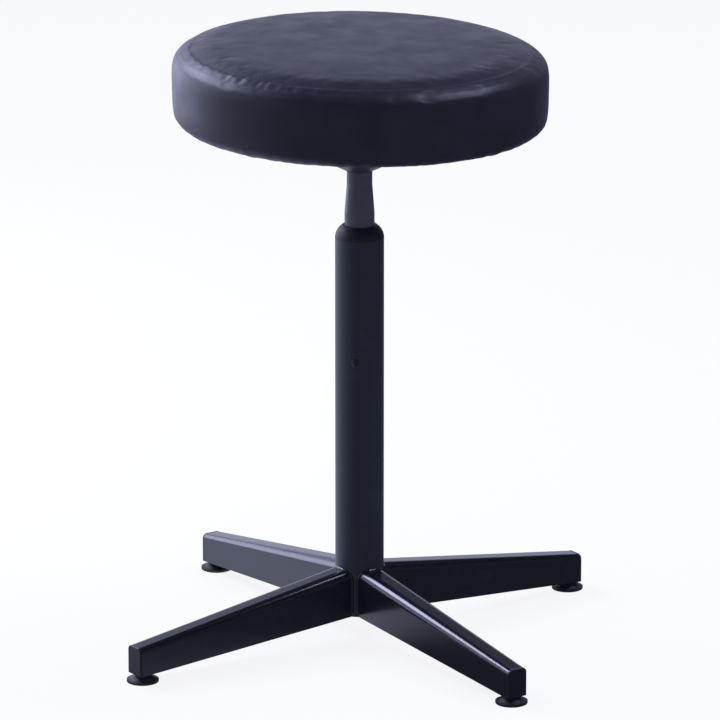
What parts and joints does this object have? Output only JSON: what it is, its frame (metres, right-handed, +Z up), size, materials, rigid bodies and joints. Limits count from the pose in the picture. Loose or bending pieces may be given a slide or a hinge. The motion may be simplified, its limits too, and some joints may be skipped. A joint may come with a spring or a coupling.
{
  "type": "screw-lift work stool",
  "caption": "Round padded work stool whose seat turns on a screw to change height, on a tube column with tapered pressed-steel legs and levelling glides.",
  "frame": {"origin": "on the floor, under the column's axis", "axes": "+Z up along the column; the legs point half way between X and Y, and the picture looks nearly along +Y"},
  "size_m": [0.4018, 0.4018, 0.612],
  "materials": {
    "black_enamel": "satin",
    "leg_enamel": "gloss",
    "grey_enamel": "satin",
    "zinc_steel": "satin",
    "bright_steel": "satin",
    "black_rivet": "satin",
    "brass_nut": "satin",
    "black_nylon": "matte",
    "natural_nylon": "matte",
    "cap_plastic": "gloss",
    "plywood": "matte",
    "foam": "matte",
    "navy_vinyl": "gloss",
    "dust_cloth": "matte"
  },
  "bodies": {
    "base": {"column_tube": "black_enamel", "guide_sleeve": "black_nylon", "sleeve_rivet": "black_rivet", "base_plate": "black_enamel", "spindle": "bright_steel", "foot_washer": "black_enamel", "foot_nut": "black_enamel", "stop_washer": "zinc_steel", "stop_screw": "zinc_steel", "leg_rear_right": "leg_enamel", "end_cap_rear_right": "cap_plastic", "foot_plate_rear_right": "leg_enamel", "weld_nut_rear_right": "zinc_steel", "leg_rear_left": "leg_enamel", "end_cap_rear_left": "cap_plastic", "foot_plate_rear_left": "leg_enamel", "weld_nut_rear_left": "zinc_steel", "leg_front_left": "leg_enamel", "end_cap_front_left": "cap_plastic", "foot_plate_front_left": "leg_enamel", "weld_nut_front_left": "zinc_steel", "leg_front_right": "leg_enamel", "end_cap_front_right": "cap_plastic", "foot_plate_front_right": "leg_enamel", "weld_nut_front_right": "zinc_steel"},
    "guide": {"guide_ring": "natural_nylon"},
    "seat": {"lift_tube": "grey_enamel", "lift_nut": "brass_nut", "nut_pin": "bright_steel", "snap_ring": "bright_steel", "bell_plate": "black_enamel", "seat_board": "plywood", "seat_bolts": "zinc_steel", "seat_washers": "zinc_steel", "tee_nuts": "zinc_steel", "seat_foam": "foam", "seat_cover": "navy_vinyl", "dust_cloth": "dust_cloth"},
    "pad_rear_right": {"glide_pad_rear_right": "black_nylon"},
    "screw_rear_right": {"glide_screw_rear_right": "zinc_steel"},
    "pad_rear_left": {"glide_pad_rear_left": "black_nylon"},
    "screw_rear_left": {"glide_screw_rear_left": "zinc_steel"},
    "pad_front_left": {"glide_pad_front_left": "black_nylon"},
    "screw_front_left": {"glide_screw_front_left": "zinc_steel"},
    "pad_front_right": {"glide_pad_front_right": "black_nylon"},
    "screw_front_right": {"glide_screw_front_right": "zinc_steel"}
  },
  "joints": [
    {"name": "seat_lift", "type": "slide", "parent": "base", "child": "guide", "axis": [0, 0, 1], "range_m": [-0.052, 0.128]},
    {"name": "seat_turn", "type": "hinge", "parent": "guide", "child": "seat", "pos_m": [0, 0, 0.43], "axis": [0, 0, 1], "range_deg": [-2340, 5760]},
    {"name": "level_rear_right", "type": "slide", "parent": "base", "child": "pad_rear_right", "axis": [0, 0, 1], "range_m": [-0.00625, 0]},
    {"name": "screw_turn_rear_right", "type": "hinge", "parent": "pad_rear_right", "child": "screw_rear_right", "pos_m": [0.18491, 0.18491, 0.0152], "axis": [0, 0, 1], "range_deg": [-1800, 0]},
    {"name": "level_rear_left", "type": "slide", "parent": "base", "child": "pad_rear_left", "axis": [0, 0, 1], "range_m": [-0.00625, 0]},
    {"name": "screw_turn_rear_left", "type": "hinge", "parent": "pad_rear_left", "child": "screw_rear_left", "pos_m": [-0.18491, 0.18491, 0.0152], "axis": [0, 0, 1], "range_deg": [-1800, 0]},
    {"name": "level_front_left", "type": "slide", "parent": "base", "child": "pad_front_left", "axis": [0, 0, 1], "range_m": [-0.00625, 0]},
    {"name": "screw_turn_front_left", "type": "hinge", "parent": "pad_front_left", "child": "screw_front_left", "pos_m": [-0.18491, -0.18491, 0.0152], "axis": [0, 0, 1], "range_deg": [-1800, 0]},
    {"name": "level_front_right", "type": "slide", "parent": "base", "child": "pad_front_right", "axis": [0, 0, 1], "range_m": [-0.00625, 0]},
    {"name": "screw_turn_front_right", "type": "hinge", "parent": "pad_front_right", "child": "screw_front_right", "pos_m": [0.18491, -0.18491, 0.0152], "axis": [0, 0, 1], "range_deg": [-1800, 0]}
  ],
  "couplings": [
    {"joint": "seat_lift", "follows": "seat_turn", "m_per_rad": 0.0012732},
    {"joint": "level_rear_right", "follows": "screw_turn_rear_right", "m_per_rad": 0.00019894},
    {"joint": "level_rear_left", "follows": "screw_turn_rear_left", "m_per_rad": 0.00019894},
    {"joint": "level_front_left", "follows": "screw_turn_front_left", "m_per_rad": 0.00019894},
    {"joint": "level_front_right", "follows": "screw_turn_front_right", "m_per_rad": 0.00019894}
  ]
}
